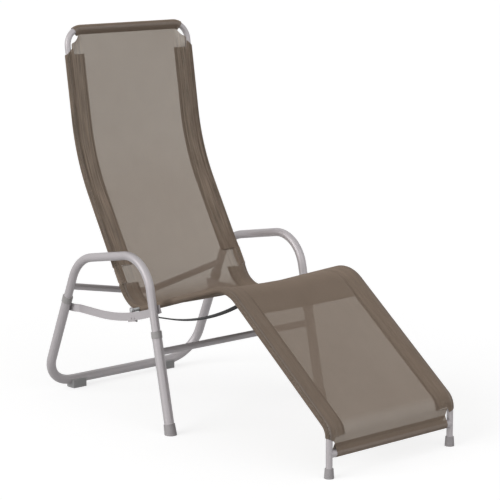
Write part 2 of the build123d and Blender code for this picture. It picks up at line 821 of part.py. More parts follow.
def write_stand():
    """The armrests, legs, cross tubes, rails and feet that stay on the floor."""
    write_pair("armrest", armrest())
    write_pair("front_leg", front_leg())
    write("rear_leg_frame", rear_frame())
    write("front_cross_tube", straight_cross_tube())
    write("rear_cross_tube", rear_cross_tube())
    write_pair("rail", rail())
    write_pair("pivot_bracket", pivot_bracket())
    write("tie_strap", tie_strap())
    write_pair("front_collar", collar(front_leg_y, front_collar_height))
    write_pair("rear_collar", collar(rear_leg_y, rear_collar_height))
    write_pair("front_leg_cap", leg_cap())
    write_pair("floor_block", floor_block())
    write("rail_screws", rail_screws())
    write("bracket_rivets", bracket_rivets())
    write("floor_block_screws", floor_block_screws())


def write_seat():
    """The tilting seat frame, its pivot hardware and its sling."""
    write("back_hoop", back_hoop())
    write_pair("seat_tube", seat_tube())
    write_pair("hip_joiner", hip_joiner())
    write("foot_cross_tube", foot_cross_tube())
    write_pair("foot_cap", foot_cap())
    write("pivot_bolts", both(pivot_bolt()))
    write("pivot_spacers", both(pivot_spacer()))
    write("pivot_nuts", both(pivot_nut()))
    notch_start, notch_end = hip_notch()
    write_pair("back_sleeve", side_sleeve(notch_end, head_distance - flap_head_gap))
    write_pair("seat_sleeve", side_sleeve(side_sleeve_foot_height - foot_cap_floor, notch_start))
    write("head_sleeve", head_sleeve())
    write("foot_sleeve", foot_sleeve())
    write("sling_panel", sling_panel())
    write("knee_band", knee_band())


os.makedirs("parts", exist_ok=True)
write_stand()
write_seat()
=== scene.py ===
from math import asin, cos, pi, radians, sin, sqrt, tan

import bmesh
import bpy
from mathutils import Matrix, Vector, noise


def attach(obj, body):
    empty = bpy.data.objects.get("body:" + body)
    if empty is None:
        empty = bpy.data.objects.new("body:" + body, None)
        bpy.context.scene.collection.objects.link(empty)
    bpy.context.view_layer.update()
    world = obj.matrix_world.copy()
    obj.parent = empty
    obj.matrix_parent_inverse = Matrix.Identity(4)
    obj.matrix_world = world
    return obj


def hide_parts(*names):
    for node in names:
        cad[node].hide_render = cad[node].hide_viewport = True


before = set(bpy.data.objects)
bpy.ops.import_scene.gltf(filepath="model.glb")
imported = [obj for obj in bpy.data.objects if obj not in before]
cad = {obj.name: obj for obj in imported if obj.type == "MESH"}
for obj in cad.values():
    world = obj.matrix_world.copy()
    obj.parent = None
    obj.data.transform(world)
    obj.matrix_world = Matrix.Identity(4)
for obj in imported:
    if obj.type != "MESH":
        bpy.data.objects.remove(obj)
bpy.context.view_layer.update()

# The camera stands before the chair, towards the sitter's right and higher than the head
# end, and far enough back for a long lens, as in the reference picture.
camera_turn = -40.47
camera_tilt = 90 - 10.72
camera_roll = -0.21
camera_data = bpy.data.cameras.new("camera")
camera_data.sensor_width = 36.0
camera_data.lens = 137.7
camera = bpy.data.objects.new("camera", camera_data)
bpy.context.scene.collection.objects.link(camera)
camera.location = (-3.8886, -4.5868, 1.6858)
camera.rotation_mode = "XYZ"
camera.rotation_euler = (radians(camera_tilt), 0, radians(camera_turn))
rolled = camera.rotation_euler.to_matrix() @ Matrix.Rotation(radians(camera_roll), 3, "Z")
camera.rotation_euler = rolled.to_euler()
bpy.context.scene.camera = camera
bpy.context.scene.view_settings.view_transform = "Standard"


# The floor is a seamless sweep of pale studio paper. The camera and reflections see it lifted
# to white, so that only a soft shadow shows; its bounce on the chair is that of grey.
def linear(code):
    """An sRGB hex colour as linear red, green, blue and alpha."""
    parts = [int(code[place:place + 2], 16) / 255 for place in (1, 3, 5)]
    return [c / 12.92 if c <= 0.04045 else ((c + 0.055) / 1.055) ** 2.4 for c in parts] + [1.0]


def add(tree, kind, sockets=(), **settings):
    """A new node with its settings, and each named socket given a value or a link."""
    made = tree.nodes.new(kind)
    for name, value in settings.items():
        setattr(made, name, value)
    for name, value in dict(sockets).items():
        if isinstance(value, bpy.types.NodeSocket):
            tree.links.new(value, made.inputs[name])
        else:
            made.inputs[name].default_value = value
    return made


def new_material(name):
    """An empty node material, its tree and its output node."""
    made = bpy.data.materials.new(name)
    made.use_nodes = True
    made.node_tree.nodes.clear()
    return made, made.node_tree, add(made.node_tree, "ShaderNodeOutputMaterial")


floor_radius = 40.0
floor_lift = 0.74
paper, tree, output = new_material("pale_studio_paper")
path = add(tree, "ShaderNodeLightPath")
lit = add(tree, "ShaderNodeBsdfDiffuse", {"Color": linear("#B0B0B0")})
grey = add(tree, "ShaderNodeBsdfDiffuse", {"Color": linear("#8C8C8C")})
glow = add(tree, "ShaderNodeEmission", {"Color": linear("#FFFFFF"), "Strength": floor_lift})
lifted = add(tree, "ShaderNodeAddShader", {0: lit.outputs[0], 1: glow.outputs[0]})
seen = add(tree, "ShaderNodeMath", {0: path.outputs["Is Camera Ray"],
                                    1: path.outputs["Is Glossy Ray"]}, operation="MAXIMUM")
both = add(tree, "ShaderNodeMixShader", {0: seen.outputs[0], 1: grey.outputs[0],
                                         2: lifted.outputs[0]})
tree.links.new(both.outputs[0], output.inputs["Surface"])

floor_mesh = bmesh.new()
bmesh.ops.create_circle(floor_mesh, cap_ends=True, segments=96, radius=floor_radius)
floor_data = bpy.data.meshes.new("floor")
floor_mesh.to_mesh(floor_data)
floor_mesh.free()
floor_data.materials.append(paper)
floor = bpy.data.objects.new("floor", floor_data)
bpy.context.scene.collection.objects.link(floor)

# The studio has an even pale surround, a large soft lamp low on the sitter's right, and a
# broader, weaker one low before the foot end. Camera and reflections see the surround white.
surround_light = 0.34
world = bpy.data.worlds.new("studio")
world.use_nodes = True
bpy.context.scene.world = world
tree = world.node_tree
tree.nodes.clear()
path = add(tree, "ShaderNodeLightPath")
shown = add(tree, "ShaderNodeBackground", {"Color": linear("#FFFFFF"), "Strength": 1.0})
soft = add(tree, "ShaderNodeBackground", {"Color": linear("#FBFAFA"), "Strength": surround_light})
seen = add(tree, "ShaderNodeMath", {0: path.outputs["Is Camera Ray"],
                                    1: path.outputs["Is Glossy Ray"]}, operation="MAXIMUM")
choice = add(tree, "ShaderNodeMixShader", {0: seen.outputs[0], 1: soft.outputs[0],
                                           2: shown.outputs[0]})
last = add(tree, "ShaderNodeOutputWorld")
tree.links.new(choice.outputs[0], last.inputs["Surface"])


def far_lamp(name, towards, spread, strength):
    """A far soft lamp whose light comes from a direction, spread over some degrees."""
    data = bpy.data.lights.new(name, "SUN")
    data.angle = radians(spread)
    data.energy = strength
    lamp = bpy.data.objects.new(name, data)
    bpy.context.scene.collection.objects.link(lamp)
    lamp.rotation_euler = Vector(towards).to_track_quat("Z", "Y").to_euler()


far_lamp("key_lamp", towards=(-1.0, 0.12, 0.42), spread=50, strength=1.75)
far_lamp("front_lamp", towards=(-0.05, -0.95, 0.20), spread=80, strength=1.06)


# The stand and the seat frame are bent steel tube, and the rails flat steel, with one satin
# silver powder coat. Its fine orange peel and faint metal flake make a soft, even shine.
def give(names, material):
    """Gives CAD nodes their one material."""
    for name in names:
        cad[name].data.materials.clear()
        cad[name].data.materials.append(material)


# Real flake is under 0.1 mm wide, and is drawn at 0.7 mm so that it shows.
flake_size = 1 / 1400
peel_size = 1 / 650
patch_size = 1 / 9
coat, tree, output = new_material("silver_powder_coated_steel")
place = add(tree, "ShaderNodeTexCoord")
peel = add(tree, "ShaderNodeTexNoise", {"Vector": place.outputs["Object"],
                                        "Scale": 1 / peel_size, "Detail": 2.0,
                                        "Roughness": 0.5})
flake = add(tree, "ShaderNodeTexNoise", {"Vector": place.outputs["Object"],
                                         "Scale": 1 / flake_size, "Detail": 1.0})
patch = add(tree, "ShaderNodeTexNoise", {"Vector": place.outputs["Object"],
                                         "Scale": 1 / patch_size, "Detail": 3.0})
flake_range = add(tree, "ShaderNodeMapRange", {
    "Value": flake.outputs["Fac"], "From Min": 0.3, "From Max": 0.7, "To Min": 0.0,
    "To Max": 1.0})
tone = add(tree, "ShaderNodeMix", {
    "Factor": flake_range.outputs["Result"], "A": linear("#B3AEB0"), "B": linear("#BFBABC")},
    data_type="RGBA")
rough = add(tree, "ShaderNodeMapRange", {
    "Value": patch.outputs["Fac"], "From Min": 0.3, "From Max": 0.7, "To Min": 0.40,
    "To Max": 0.48})
bump = add(tree, "ShaderNodeBump", {"Height": peel.outputs["Fac"], "Strength": 0.12,
                                    "Distance": 0.0002})
skin = add(tree, "ShaderNodeBsdfPrincipled", {
    "Base Color": tone.outputs["Result"], "Metallic": 0.25, "Roughness": rough.outputs["Result"],
    "Normal": bump.outputs["Normal"]})
tree.links.new(skin.outputs[0], output.inputs["Surface"])
give(["left_armrest", "right_armrest", "left_front_leg", "right_front_leg", "rear_leg_frame",
      "front_cross_tube", "rear_cross_tube", "left_rail", "right_rail", "left_pivot_bracket",
      "right_pivot_bracket", "back_hoop", "left_seat_tube", "right_seat_tube",
      "left_hip_joiner", "right_hip_joiner", "foot_cross_tube", "bracket_rivets"], coat)

# The strap between the pivot brackets is a strip of spring steel, blackened and oiled,
# so it is much darker than the tubes and only dully shiny.
smear_size = 1 / 60
black, tree, output = new_material("blackened_spring_steel")
place = add(tree, "ShaderNodeTexCoord")
smear = add(tree, "ShaderNodeTexNoise", {"Vector": place.outputs["Object"],
                                         "Scale": 1 / smear_size, "Detail": 4.0})
tone = add(tree, "ShaderNodeMix", {"Factor": smear.outputs["Fac"], "A": linear("#1F1F20"),
                                   "B": linear("#2C2C2D")}, data_type="RGBA")
rough = add(tree, "ShaderNodeMapRange", {
    "Value": smear.outputs["Fac"], "To Min": 0.42, "To Max": 0.60})
skin = add(tree, "ShaderNodeBsdfPrincipled", {
    "Base Color": tone.outputs["Result"], "Metallic": 0.2, "Roughness": rough.outputs["Result"],
    "Specular IOR Level": 0.25})
tree.links.new(skin.outputs[0], output.inputs["Surface"])
give(["tie_strap"], black)

# Collars, floor blocks and foot caps are moulded grey plastic and rubber. A spark texture
# from the mould makes them dull beside the coated tube. It is really under 0.3 mm wide, and
# is drawn at 1.1 mm so that it shows.
spark_size = 1 / 900
mottle_size = 1 / 35
for name, light, deep, roughness, nodes in (
        ("moulded_grey_collar_plastic", "#ABA8A7", "#9F9C9B", 0.5,
         ("left_front_collar", "right_front_collar", "left_rear_collar", "right_rear_collar")),
        ("moulded_dark_block_plastic", "#ABABAB", "#9E9E9E", 0.55,
         ("left_floor_block", "right_floor_block")),
        ("moulded_grey_foot_rubber", "#ABA7A8", "#9D999A", 0.7,
         ("left_foot_cap", "right_foot_cap", "left_front_leg_cap", "right_front_leg_cap"))):
    moulded, tree, output = new_material(name)
    place = add(tree, "ShaderNodeTexCoord")
    spark = add(tree, "ShaderNodeTexNoise", {"Vector": place.outputs["Object"],
                                             "Scale": 1 / spark_size, "Detail": 2.0})
    cloud = add(tree, "ShaderNodeTexNoise", {"Vector": place.outputs["Object"],
                                             "Scale": 1 / mottle_size, "Detail": 3.0})
    tone = add(tree, "ShaderNodeMix", {"Factor": cloud.outputs["Fac"], "A": linear(deep),
                                       "B": linear(light)}, data_type="RGBA")
    bump = add(tree, "ShaderNodeBump", {"Height": spark.outputs["Fac"], "Strength": 0.25,
                                        "Distance": 0.0002})
    skin = add(tree, "ShaderNodeBsdfPrincipled", {
        "Base Color": tone.outputs["Result"], "Roughness": roughness,
        "Normal": bump.outputs["Normal"]})
    tree.links.new(skin.outputs[0], output.inputs["Surface"])
    give(nodes, moulded)

# Screws, pivot bolts, nuts and spacers are zinc plated steel: a bright, slightly cloudy
# metal with a faint bluish cast. The bracket's rivets are coated over with the rail.
plating_size = 1 / 240
zinc, tree, output = new_material("zinc_plated_steel")
place = add(tree, "ShaderNodeTexCoord")
cloud = add(tree, "ShaderNodeTexNoise", {"Vector": place.outputs["Object"],
                                         "Scale": 1 / plating_size, "Detail": 3.0})
tone = add(tree, "ShaderNodeMix", {"Factor": cloud.outputs["Fac"], "A": linear("#A3A6A7"),
                                   "B": linear("#B9BABB")}, data_type="RGBA")
rough = add(tree, "ShaderNodeMapRange", {
    "Value": cloud.outputs["Fac"], "To Min": 0.35, "To Max": 0.50})
skin = add(tree, "ShaderNodeBsdfPrincipled", {
    "Base Color": tone.outputs["Result"], "Metallic": 0.8, "Roughness": rough.outputs["Result"]})
tree.links.new(skin.outputs[0], output.inputs["Surface"])
give(["rail_screws", "floor_block_screws", "pivot_bolts", "pivot_spacers", "pivot_nuts"], zinc)

# The sling is woven from plastic coated polyester yarn: a taupe mesh with small square
# holes. Seen straight on, about a third of what is behind it shows through, so that two
# layers, or one seen side-on, look clearly closer and darker.
cloth, tree, output = new_material("coated_polyester_mesh")
place = add(tree, "ShaderNodeTexCoord")

# The threads are drawn 1.8 mm apart, which is coarse for such a mesh, so that they show.
# The bands of a wave texture lie pi / (10 * scale) apart.
thread_pitch = 0.0018
wave_scale = pi / (10 * thread_pitch)
yarn_mottle_size = 1 / 14
warp = add(tree, "ShaderNodeTexWave", {"Vector": place.outputs["UV"], "Scale": wave_scale},
           bands_direction="X")
weft = add(tree, "ShaderNodeTexWave", {"Vector": place.outputs["UV"], "Scale": wave_scale},
           bands_direction="Y")
yarn = add(tree, "ShaderNodeMath", {0: warp.outputs["Fac"], 1: weft.outputs["Fac"]},
           operation="MAXIMUM")
mottle = add(tree, "ShaderNodeTexNoise", {"Vector": place.outputs["UV"],
                                          "Scale": 1 / yarn_mottle_size, "Detail": 3.0})
tone = add(tree, "ShaderNodeMix", {"Factor": mottle.outputs["Fac"], "A": linear("#978677"),
                                   "B": linear("#9F8E7F")}, data_type="RGBA")
shade = add(tree, "ShaderNodeMapRange", {
    "Value": yarn.outputs[0], "From Min": 0.4, "From Max": 1.0, "To Min": 0.8, "To Max": 1.05})

# Yarns lie unevenly in the flaps beside the seams, which streaks them lengthwise: strongly
# along the back, and faintly along the seat. The panel between the seams has almost none.
seam_x = 0.190
flap_x = 0.196
seat_part_end = 1.25
back_part_start = 1.45
streak_width = 1 / 210
streak_length = 1 / 8
panel_streaks = 0.02
seat_streaks = 0.07
back_streaks = 0.34
drawn = add(tree, "ShaderNodeMapping", {"Vector": place.outputs["UV"],
                                        "Scale": (1 / streak_width, 1 / streak_length, 1)})
streak = add(tree, "ShaderNodeTexNoise", {"Vector": drawn.outputs["Vector"], "Scale": 1.0,
                                          "Detail": 2.0})
streaks = add(tree, "ShaderNodeMapRange", {
    "Value": streak.outputs["Fac"], "From Min": 0.3, "From Max": 0.7, "To Min": -1.0,
    "To Max": 1.0})
sideways = add(tree, "ShaderNodeSeparateXYZ", {"Vector": place.outputs["Object"]})
sideways = add(tree, "ShaderNodeMath", {0: sideways.outputs["X"]}, operation="ABSOLUTE")
upward = add(tree, "ShaderNodeSeparateXYZ", {"Vector": place.outputs["UV"]})
deepest = add(tree, "ShaderNodeMapRange", {
    "Value": upward.outputs["Y"], "From Min": seat_part_end, "From Max": back_part_start,
    "To Min": seat_streaks, "To Max": back_streaks})
depth = add(tree, "ShaderNodeMapRange", {
    "Value": sideways.outputs[0], "From Min": seam_x, "From Max": flap_x,
    "To Min": panel_streaks, "To Max": deepest.outputs["Result"]})
streaks = add(tree, "ShaderNodeMath", {0: streaks.outputs["Result"], 1: depth.outputs["Result"],
                                       2: 1.0}, operation="MULTIPLY_ADD")
shade = add(tree, "ShaderNodeMath", {0: shade.outputs["Result"], 1: streaks.outputs[0]},
            operation="MULTIPLY")

# Round the side tubes, far from the seams, the cloth's colour is darkened as painted shade for
# the dark outer sides of the sleeves. How far a place is from the nearest seam tells where that
# is; the middle of the knee band lies as far from its seams and is darkened the same way.
painted_shade_from = 0.055
painted_shade_to = 0.066
painted_shade_darkest = 0.76
from_seam = add(tree, "ShaderNodeAttribute", attribute_name="from_seam")
painted_shade_factor = add(tree, "ShaderNodeMapRange", {
    "Value": from_seam.outputs["Fac"], "From Min": painted_shade_from, "From Max": painted_shade_to,
    "To Min": 1.0, "To Max": painted_shade_darkest})
# Painted shade: the cloth's colour is multiplied down where it lies far from the seams.
shade = add(tree, "ShaderNodeMath", {0: shade.outputs[0], 1: painted_shade_factor.outputs["Result"]},
            operation="MULTIPLY")
tone = add(tree, "ShaderNodeVectorMath", {0: tone.outputs["Result"], 1: shade.outputs[0]},
           operation="MULTIPLY")

# Two rows of taupe thread hold each folded edge, 4 and 8 mm in. The stitches are really
# under 1 mm thick, and are drawn 1.2 mm thick so that the rows show.
stitch_pitch = 0.0045
stitch_gap = 0.25
stitch_half = 0.0006
rows_middle = 0.006
rows_apart = 0.004
row = add(tree, "ShaderNodeMath", {0: from_seam.outputs["Fac"], 1: rows_middle},
          operation="SUBTRACT")
row = add(tree, "ShaderNodeMath", {0: row.outputs[0]}, operation="ABSOLUTE")
row = add(tree, "ShaderNodeMath", {0: row.outputs[0], 1: rows_apart / 2, 2: stitch_half},
          operation="COMPARE")
run = add(tree, "ShaderNodeSeparateXYZ", {"Vector": place.outputs["UV"]})
run = add(tree, "ShaderNodeMath", {0: run.outputs["X"], 1: run.outputs["Y"]}, operation="ADD")
run = add(tree, "ShaderNodeMath", {0: run.outputs[0], 1: 1 / stitch_pitch},
          operation="MULTIPLY")
run = add(tree, "ShaderNodeMath", {0: run.outputs[0]}, operation="FRACT")
run = add(tree, "ShaderNodeMath", {0: run.outputs[0], 1: stitch_gap}, operation="GREATER_THAN")
stitch = add(tree, "ShaderNodeMath", {0: row.outputs[0], 1: run.outputs[0]},
             operation="MULTIPLY")
height = add(tree, "ShaderNodeMath", {0: stitch.outputs[0], 1: 1.5, 2: yarn.outputs[0]},
             operation="MULTIPLY_ADD")
tone = add(tree, "ShaderNodeMix", {"Factor": stitch.outputs[0], "A": tone.outputs["Vector"],
                                   "B": linear("#6A5C51")}, data_type="RGBA")
bump = add(tree, "ShaderNodeBump", {"Height": height.outputs[0], "Strength": 0.4,
                                    "Distance": 0.0004})

# The holes close up to the eye as the mesh is seen more side-on, and under the stitches.
# The shares are those of one face, and light crosses two faces in each layer of cloth.
closing_power = 1.55
open_hole = 0.74
open_yarn = 0.485
slant = add(tree, "ShaderNodeLayerWeight", {"Blend": 0.5})
head_on = add(tree, "ShaderNodeMath", {0: 1.0, 1: slant.outputs["Facing"]},
              operation="SUBTRACT")
head_on = add(tree, "ShaderNodeMath", {0: head_on.outputs[0], 1: closing_power},
              operation="POWER")
holes = add(tree, "ShaderNodeMapRange", {
    "Value": yarn.outputs[0], "From Min": 0.3, "From Max": 1.0, "To Min": open_hole,
    "To Max": open_yarn})
open_share = add(tree, "ShaderNodeMath", {0: holes.outputs["Result"], 1: head_on.outputs[0]},
                 operation="MULTIPLY")
bare = add(tree, "ShaderNodeMath", {0: 1.0, 1: stitch.outputs[0]}, operation="SUBTRACT")
open_share = add(tree, "ShaderNodeMath", {0: open_share.outputs[0], 1: bare.outputs[0]},
                 operation="MULTIPLY")
face = add(tree, "ShaderNodeBsdfPrincipled", {
    "Base Color": tone.outputs["Result"], "Roughness": 0.85, "Specular IOR Level": 0.15,
    "Normal": bump.outputs["Normal"]})
clear = add(tree, "ShaderNodeBsdfTransparent", {"Color": linear("#FFFDF9")})
mesh_skin = add(tree, "ShaderNodeMixShader", {0: open_share.outputs[0], 1: face.outputs[0],
                                              2: clear.outputs[0]})
tree.links.new(mesh_skin.outputs[0], output.inputs["Surface"])

# The panel is the single layer of mesh that the sitter lies on, sewn into the sleeves. It is
# cut wider at the foot and the head, where the side sleeves stop, and is hollowed at its top
# corners to clear the tube. Like every sling piece it follows the seat frame's side line.
seat_half_width = 0.252
tube_radius = 0.010
cloth_thickness = 0.001
foot_place = (-0.674561, 0.008)
# The side line's runs from inside the foot cap to the top tube: length, turn after it, radius.
seat_runs = ((0.138, -52.6, 0.050), (0.573, -55.3, 0.108), (0.508, 77.6, 0.095),
             (0.545, 21.6, 0.670), (0.428, 0, 0))


def seat_frame_at(distance):
    """Axes across, along and out of the cloth at a distance along the side line."""
    y, z = foot_place
    heading = radians(90)
    to_go = distance
    before = 0
    for length, turn, radius in seat_runs:
        bend = radians(turn)
        after = radius * tan(abs(bend) / 2)
        step = min(to_go, length - before - after)
        if turn == 0:
            step = to_go
        y, z = y + step * cos(heading), z + step * sin(heading)
        to_go -= step
        if to_go <= 0 or turn == 0:
            break
        angle = min(to_go / radius, abs(bend)) * (1 if bend > 0 else -1)
        chord = 2 * radius * sin(abs(angle) / 2)
        y, z = (y + chord * cos(heading + angle / 2), z + chord * sin(heading + angle / 2))
        heading += angle
        to_go -= radius * abs(angle)
        before = after
        if to_go <= 0:
            break
    return Matrix(((1, 0, 0, 0), (0, cos(heading), -sin(heading), y),
                   (0, sin(heading), cos(heading), z), (0, 0, 0, 1)))


def start_cloth():
    """A mesh that notes how far along, across and from a seam each vertex is."""
    mesh = bmesh.new()
    mesh.verts.layers.float.new("along")
    mesh.verts.layers.float.new("across")
    mesh.verts.layers.float.new("from_seam")
    return mesh


def lay_row(mesh, points, distance):
    """Edges of a row at a distance along the side line, its points being (across, out)."""
    along = mesh.verts.layers.float["along"]
    across = mesh.verts.layers.float["across"]
    here = seat_frame_at(distance)
    row = []
    girth = 0
    for number, (x, out) in enumerate(points):
        if number:
            girth += (Vector((x, out)) - Vector(points[number - 1])).length
        vert = mesh.verts.new(here @ Vector((x, 0, out)))
        vert[along] = distance
        vert[across] = girth
        row.append(vert)
    return [mesh.edges.new(pair) for pair in zip(row, row[1:])]


def grow(mesh, edges):
    """Extrudes edges in place, and gives the new edges and vertices."""
    grown = bmesh.ops.extrude_edge_only(mesh, edges=edges)["geom"]
    return ([item for item in grown if isinstance(item, bmesh.types.BMEdge)],
            [item for item in grown if isinstance(item, bmesh.types.BMVert)])


def carry(mesh, edges, start, end, pace=0.010):
    """Extrudes edges along the side line and notes in the mesh how far along each vertex is."""
    along = mesh.verts.layers.float["along"]
    steps = max(1, round((end - start) / pace))
    for number in range(steps):
        here = start + (end - start) * number / steps
        there = start + (end - start) * (number + 1) / steps
        edges, verts = grow(mesh, edges)
        move = seat_frame_at(there) @ seat_frame_at(here).inverted()
        bmesh.ops.transform(mesh, matrix=move, verts=verts)
        for vert in verts:
            vert[along] = there
    return edges


def draw_across(mesh, edges, run, steps):
    """Extrudes edges straight across the chair, and gives the last edges and vertices."""
    for number in range(steps):
        edges, verts = grow(mesh, edges)
        bmesh.ops.translate(mesh, vec=(run / steps, 0, 0), verts=verts)
    return edges, verts


def widen(mesh, corner, side, end_x, steps):
    """Extrudes a row of edges from a corner at the seam out to a half width."""
    edges = []
    for number in range(steps):
        grown = bmesh.ops.extrude_vert_indiv(mesh, verts=[corner])
        corner = grown["verts"][0]
        corner.co.x = side * (seam_x + (end_x - seam_x) * (number + 1) / steps)
        edges += grown["edges"]
    return edges


def finish_cloth(mesh, name, node_names):
    """Turns a cloth mesh into a piece of the seat: weave direction, wall and material."""
    along = mesh.verts.layers.float["along"]
    across = mesh.verts.layers.float["across"]
    weave = mesh.loops.layers.uv.new("weave")
    bmesh.ops.recalc_face_normals(mesh, faces=mesh.faces)
    bmesh.ops.solidify(mesh, geom=mesh.faces[:], thickness=cloth_thickness)
    bmesh.ops.recalc_face_normals(mesh, faces=mesh.faces)
    for part in mesh.faces:
        part.smooth = True
        for loop in part.loops:
            loop[weave].uv = (loop.vert[across], loop.vert[along])
    data = bpy.data.meshes.new(name)
    mesh.to_mesh(data)
    mesh.free()
    data.set_sharp_from_angle(angle=radians(50))
    data.materials.append(cloth)
    piece = bpy.data.objects.new(name, data)
    bpy.context.scene.collection.objects.link(piece)
    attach(piece, "seat")
    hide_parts(*node_names)
    return piece


# Where the cloth's parts end, measured along the side line from inside the foot cap.
foot_hem_top = 0.0921
side_foot_end = 0.113
hip_notch = (1.27884, 1.34084)
side_head_end = 2.06842
head_hem_end = 2.13242
head_distance = 2.15242
# The panel's half widths at its two ends, the radius of its corner cut, and its grid.
foot_end_x = 0.230
head_end_x = 0.2402
corner_cut = 0.050
corner_pace = 0.004
half_strips = 12
merge_distance = 0.0002
tolerance = 0.001


def head_edge_x(distance):
    """Half width of the panel at its hollowed top corners."""
    below = head_distance - distance
    if below >= corner_cut:
        return head_end_x
    return min(head_end_x, seat_half_width - sqrt(corner_cut ** 2 - below ** 2))


panel_columns = [seam_x * (number / half_strips - 1) for number in range(2 * half_strips + 1)]
panel = start_cloth()
inner = lay_row(panel, [(x, 0) for x in panel_columns], foot_hem_top)
right_end = inner[0].verts[0]
left_end = inner[-1].verts[1]
across = panel.verts.layers.float["across"]
along = panel.verts.layers.float["along"]
outer = (widen(panel, right_end, -1, foot_end_x, steps=3)
         + widen(panel, left_end, 1, foot_end_x, steps=3))
carry(panel, outer, foot_hem_top, side_foot_end)
inner = carry(panel, inner, foot_hem_top, side_foot_end)
inner = carry(panel, inner, side_foot_end, hip_notch[0])
hips = carry(panel, inner, hip_notch[0], hip_notch[1])
inner = carry(panel, hips, hip_notch[1], side_head_end)
for side in (-1, 1):
    corner = max((vert for edge in inner for vert in edge.verts), key=lambda v: side * v.co.x)
    outer = widen(panel, corner, side, head_end_x, steps=4)
    carry(panel, outer, side_head_end, head_hem_end, corner_pace)
carry(panel, inner, side_head_end, head_hem_end, corner_pace)

# The head corners are drawn in to their hollow and curl forward between the two seams. The
# foot corners flare a little towards the side sleeves.
head_curl = 0.006
foot_flare = 0.24
for vert in panel.verts:
    beyond = abs(vert.co.x) - seam_x
    if beyond > tolerance:
        if vert[along] > hip_notch[1]:
            share = beyond / (head_end_x - seam_x)
            width = seam_x + share * (head_edge_x(vert[along]) - seam_x)
            curl = sin(pi * (vert[along] - side_head_end) / (head_hem_end - side_head_end))
            vert.co += seat_frame_at(vert[along]).to_3x3() @ Vector(
                (0, 0, head_curl * share ** 2 * curl))
        else:
            rise = (vert[along] - foot_hem_top) / (side_foot_end - foot_hem_top)
            width = seam_x + beyond * (1 + foot_flare * rise)
        vert.co.x = width if vert.co.x > 0 else -width

# At the hips, between the sleeves, the panel itself reaches out and is turned halfway round
# the side tubes, over their joiner rings.
wrap_radius = 0.0138
for side in (-1, 1):
    rim = [edge for edge in panel.edges if len(edge.link_faces) == 1 and all(
        abs(vert.co.x - side * seam_x) < tolerance / 2
        and hip_notch[0] - tolerance < vert[along] < hip_notch[1] + tolerance
        for vert in edge.verts)]
    reach = seat_half_width - wrap_radius - seam_x
    rim, verts = draw_across(panel, rim, side * reach, steps=4)
    hip_frame = seat_frame_at(sum(hip_notch) / 2)
    tube_centre = hip_frame.translation + Vector((side * seat_half_width, 0, 0))
    bmesh.ops.spin(panel, geom=rim + verts, cent=tube_centre,
                   axis=hip_frame.to_3x3() @ Vector((0, 1, 0)), angle=side * pi, steps=10)
bmesh.ops.remove_doubles(panel, verts=panel.verts, dist=merge_distance)

# The stretched cloth sags a few millimetres between its sides, with faint ripples, of which
# a metre holds a few across and along. Both fade out towards the two hems.
sag_depth = 0.0035
ripple_height = 0.0012
ripple_rate = (5, 3)
end_fade = 0.15


def let_sag(vert, distance, share):
    """Sinks a vertex between the seams by a share of the sag at its place."""
    out = seat_frame_at(distance).to_3x3() @ Vector((0, 0, 1))
    hollow = max(0, 1 - (vert.co.x / seam_x) ** 2)
    ripple = noise.noise(Vector((vert.co.x * ripple_rate[0], distance * ripple_rate[1], 0)))
    vert.co -= out * hollow * share * (sag_depth + ripple * ripple_height)


for vert in panel.verts:
    vert[across] = vert.co.x
    if abs(vert.co.x) < seam_x:
        from_foot = (vert[along] - foot_hem_top) / end_fade
        from_head = (head_hem_end - vert[along]) / end_fade
        let_sag(vert, vert[along], max(0, min(1, from_foot, from_head)))
sling_panel = finish_cloth(panel, "sling_cloth", ["sling_panel"])

# Along each side the cloth is turned round the tube and sewn back on itself as a flap. The
# back sleeve and the seat sleeve are separate, and stop short of the joiner at the hip.
flap_width = 0.062
tube_play = 0.0003
loop_radius = tube_radius + tube_play + cloth_thickness / 2
seam_half = 0.0006
arc_points = 15


def sleeve_outline(radius, reach, run_points, slack=0.0):
    """Points (inward, out) of a cloth loop from its front seam round the tube to its back.

    The slack is how far the loop stands off at the tube's far side.
    """
    angle = asin((radius - seam_half) / reach)
    touch = Vector((radius * sin(angle), radius * cos(angle)))
    seam = Vector((reach, seam_half))
    front = [seam.lerp(touch, number / run_points) for number in range(run_points)]
    turned = pi + 2 * angle
    arc = []
    for number in range(arc_points + 1):
        bearing = pi / 2 - angle + turned * number / arc_points
        point = Vector((radius * cos(bearing), radius * sin(bearing)))
        if point.x < 0:
            point.x *= 1 + slack / radius
        arc.append(point)
    back = [Vector((point.x, -point.y)) for point in reversed(front)]
    return front + arc + back


def mark_seam(mesh, distance, first, last):
    """Notes in the mesh how far each vertex is from the nearer of two sewn edges."""
    measure = mesh.verts.layers.float[distance]
    from_seam = mesh.verts.layers.float["from_seam"]
    for vert in mesh.verts:
        vert[from_seam] = min(vert[measure] - first, last - vert[measure])


# A flap swells and creases between the tube and its seam, most near the foot. Its ends slant
# where they turn round the tube, and it bulges a little at the hip. The rates are how many
# swells or creases a metre holds across and along; the third noise place parts the two sides.
sleeve_slack = 0.0016
loose_from = 0.012
loose_fade = 0.015
swell_height = 0.0016
swell_rate = (60, 4)
crease_height = 0.0009
crease_rate = (150, 2.2)
foot_creasing = 1.5
foot_reach = 0.05
hip_reach = 0.06
hip_bulge = 0.0016
hip_bulge_fade = 0.006
head_reach = 0.06
slant_from = -0.012
slant_span = 0.026
slant_end = 0.0145
head_slant = 0.024
foot_slant = -0.013


